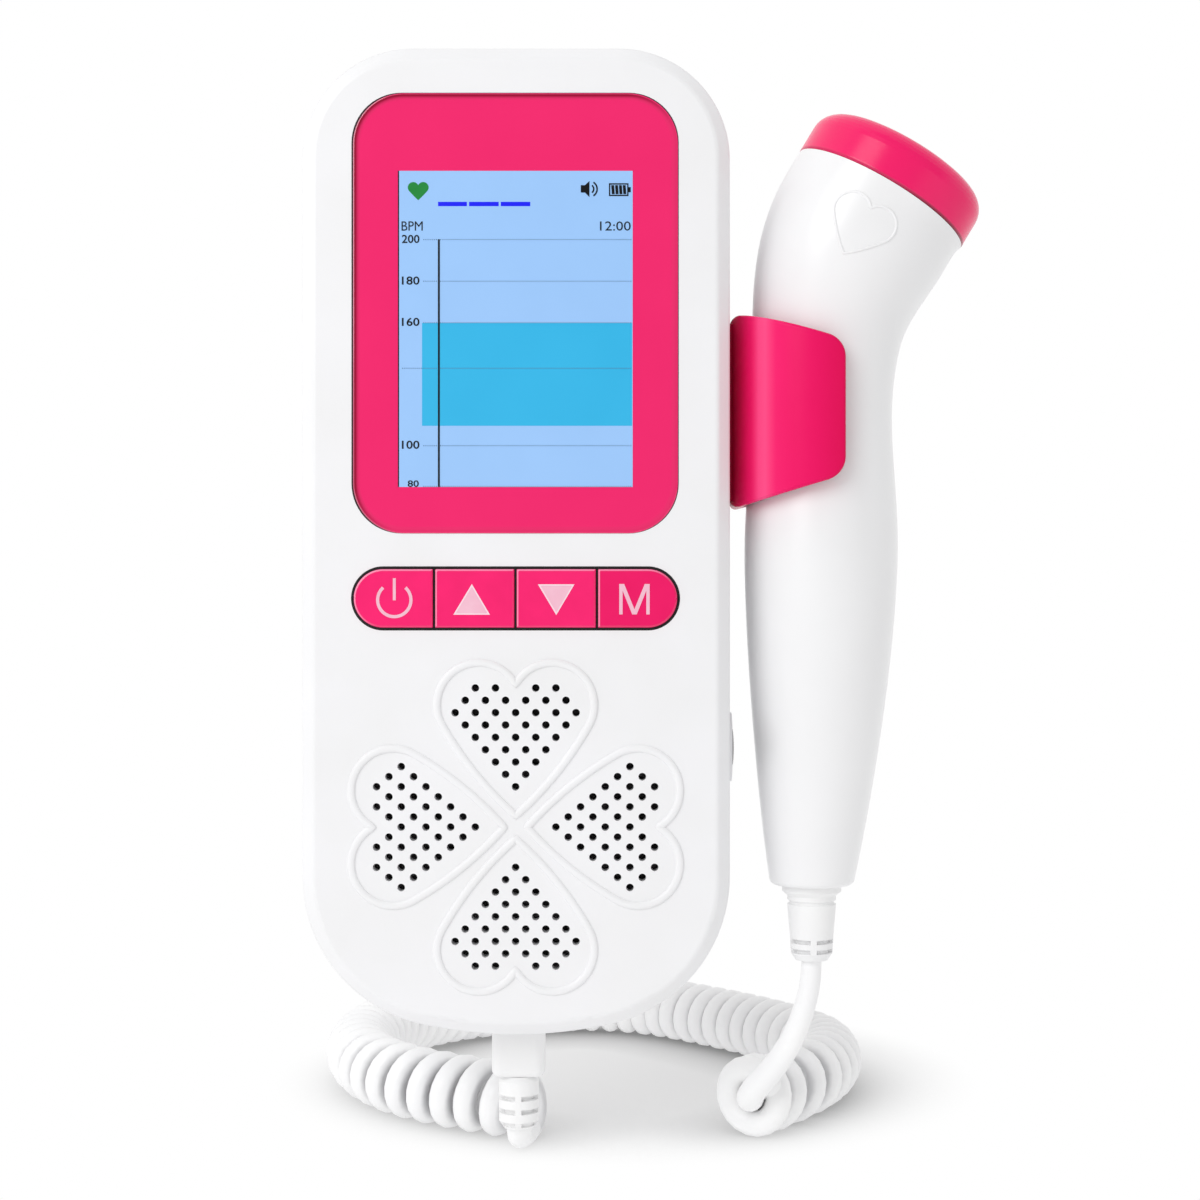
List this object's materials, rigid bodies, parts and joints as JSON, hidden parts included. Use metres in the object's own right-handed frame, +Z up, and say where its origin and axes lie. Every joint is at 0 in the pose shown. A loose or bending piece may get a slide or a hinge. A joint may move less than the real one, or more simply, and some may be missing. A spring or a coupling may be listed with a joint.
{
  "type": "fetal doppler monitor",
  "caption": "Hand-held heart-rate monitor with a colour screen, key row and sound holes, its ultrasound probe in a side clip on a curly cord.",
  "frame": {"origin": "middle of the monitor's flat back face", "axes": "+X to the probe's side, +Y out of the back face, +Z up; the screen faces -Y"},
  "size_m": [0.1128, 0.1221, 0.1778],
  "materials": {
    "case_white": "satin moulded ABS",
    "screw_steel": "zinc-plated steel",
    "screen_panel": "clear acrylic printed from behind",
    "foam_black": "closed-cell foam",
    "display": "lit liquid-crystal display",
    "frame_white": "moulded",
    "ribbon": "polyimide film",
    "key_pink": "satin moulded",
    "rubber_black": "moulded silicone",
    "component_black": "moulded",
    "circuit_board": "solder mask",
    "speaker_cloth": "woven",
    "speaker_frame": "pressed",
    "paper_cone": "pressed paper",
    "battery_wrap": "plain shrink film",
    "contact_nickel": "nickel-plated",
    "jack_black": "moulded",
    "clip_pink": "polished moulded ABS",
    "probe_white": "semi-gloss moulded ABS",
    "cap_pink": "semi-gloss moulded",
    "lens_grey": "silicone acoustic face",
    "ceramic": "piezoelectric ceramic",
    "backing": "loaded epoxy",
    "relief_white": "moulded elastomer",
    "cord_white": "extruded jacket"
  },
  "bodies": {
    "monitor": {"front_shell": "case_white", "rear_shell": "case_white", "case_screw_1": "screw_steel", "case_screw_2": "screw_steel", "case_screw_3": "screw_steel", "case_screw_4": "screw_steel", "screen_panel": "screen_panel", "display_gasket": "foam_black", "lcd_module": "display", "display_frame": "frame_white", "display_ribbon": "ribbon", "keypad_membrane": "rubber_black", "switch_power": "component_black", "switch_up": "component_black", "switch_down": "component_black", "switch_mode": "component_black", "main_board": "circuit_board", "board_chips": "component_black", "board_screw_1": "screw_steel", "board_screw_2": "screw_steel", "board_screw_3": "screw_steel", "board_screw_4": "screw_steel", "speaker_cloth": "speaker_cloth", "speaker_frame": "speaker_frame", "speaker_cone": "paper_cone", "speaker_magnet": "component_black", "battery_left": "battery_wrap", "battery_right": "battery_wrap", "battery_contact_top": "contact_nickel", "battery_contact_left": "contact_nickel", "battery_contact_right": "contact_nickel", "earphone_jack": "jack_black", "probe_socket": "frame_white", "probe_clip": "clip_pink", "clip_screw_1": "screw_steel", "clip_screw_2": "screw_steel", "plug_body": "relief_white", "plug_tongue": "contact_nickel", "plug_strain_relief": "relief_white", "cord_plug_lead": "cord_white", "cord_coil": "cord_white", "cord_probe_lead": "cord_white"},
    "battery_door": {"battery_door": "case_white"},
    "probe": {"probe_shell_front": "probe_white", "probe_shell_rear": "probe_white", "probe_cap": "cap_pink", "probe_lens": "lens_grey", "probe_crystal": "ceramic", "probe_backing": "backing", "probe_board": "circuit_board", "probe_strain_relief": "relief_white"},
    "key_power": {"button_power": "key_pink"},
    "key_up": {"button_up": "key_pink"},
    "key_down": {"button_down": "key_pink"},
    "key_mode": {"button_mode": "key_pink"}
  },
  "joints": [
    {"name": "key_power_press", "type": "slide", "parent": "monitor", "child": "key_power", "axis": [0, 1, 0], "range_m": [0, 0.0008], "stiffness_N_per_m": 1500},
    {"name": "key_up_press", "type": "slide", "parent": "monitor", "child": "key_up", "axis": [0, 1, 0], "range_m": [0, 0.0008], "stiffness_N_per_m": 1500},
    {"name": "key_down_press", "type": "slide", "parent": "monitor", "child": "key_down", "axis": [0, 1, 0], "range_m": [0, 0.0008], "stiffness_N_per_m": 1500},
    {"name": "key_mode_press", "type": "slide", "parent": "monitor", "child": "key_mode", "axis": [0, 1, 0], "range_m": [0, 0.0008], "stiffness_N_per_m": 1500},
    {"name": "battery_door_slide", "type": "slide", "parent": "monitor", "child": "battery_door", "axis": [0, 0, -1], "range_m": [0, 0.007]},
    {"name": "probe_slide", "type": "slide", "parent": "monitor", "child": "probe", "axis": [1, 0, 0], "range_m": [0, 0.02]}
  ]
}
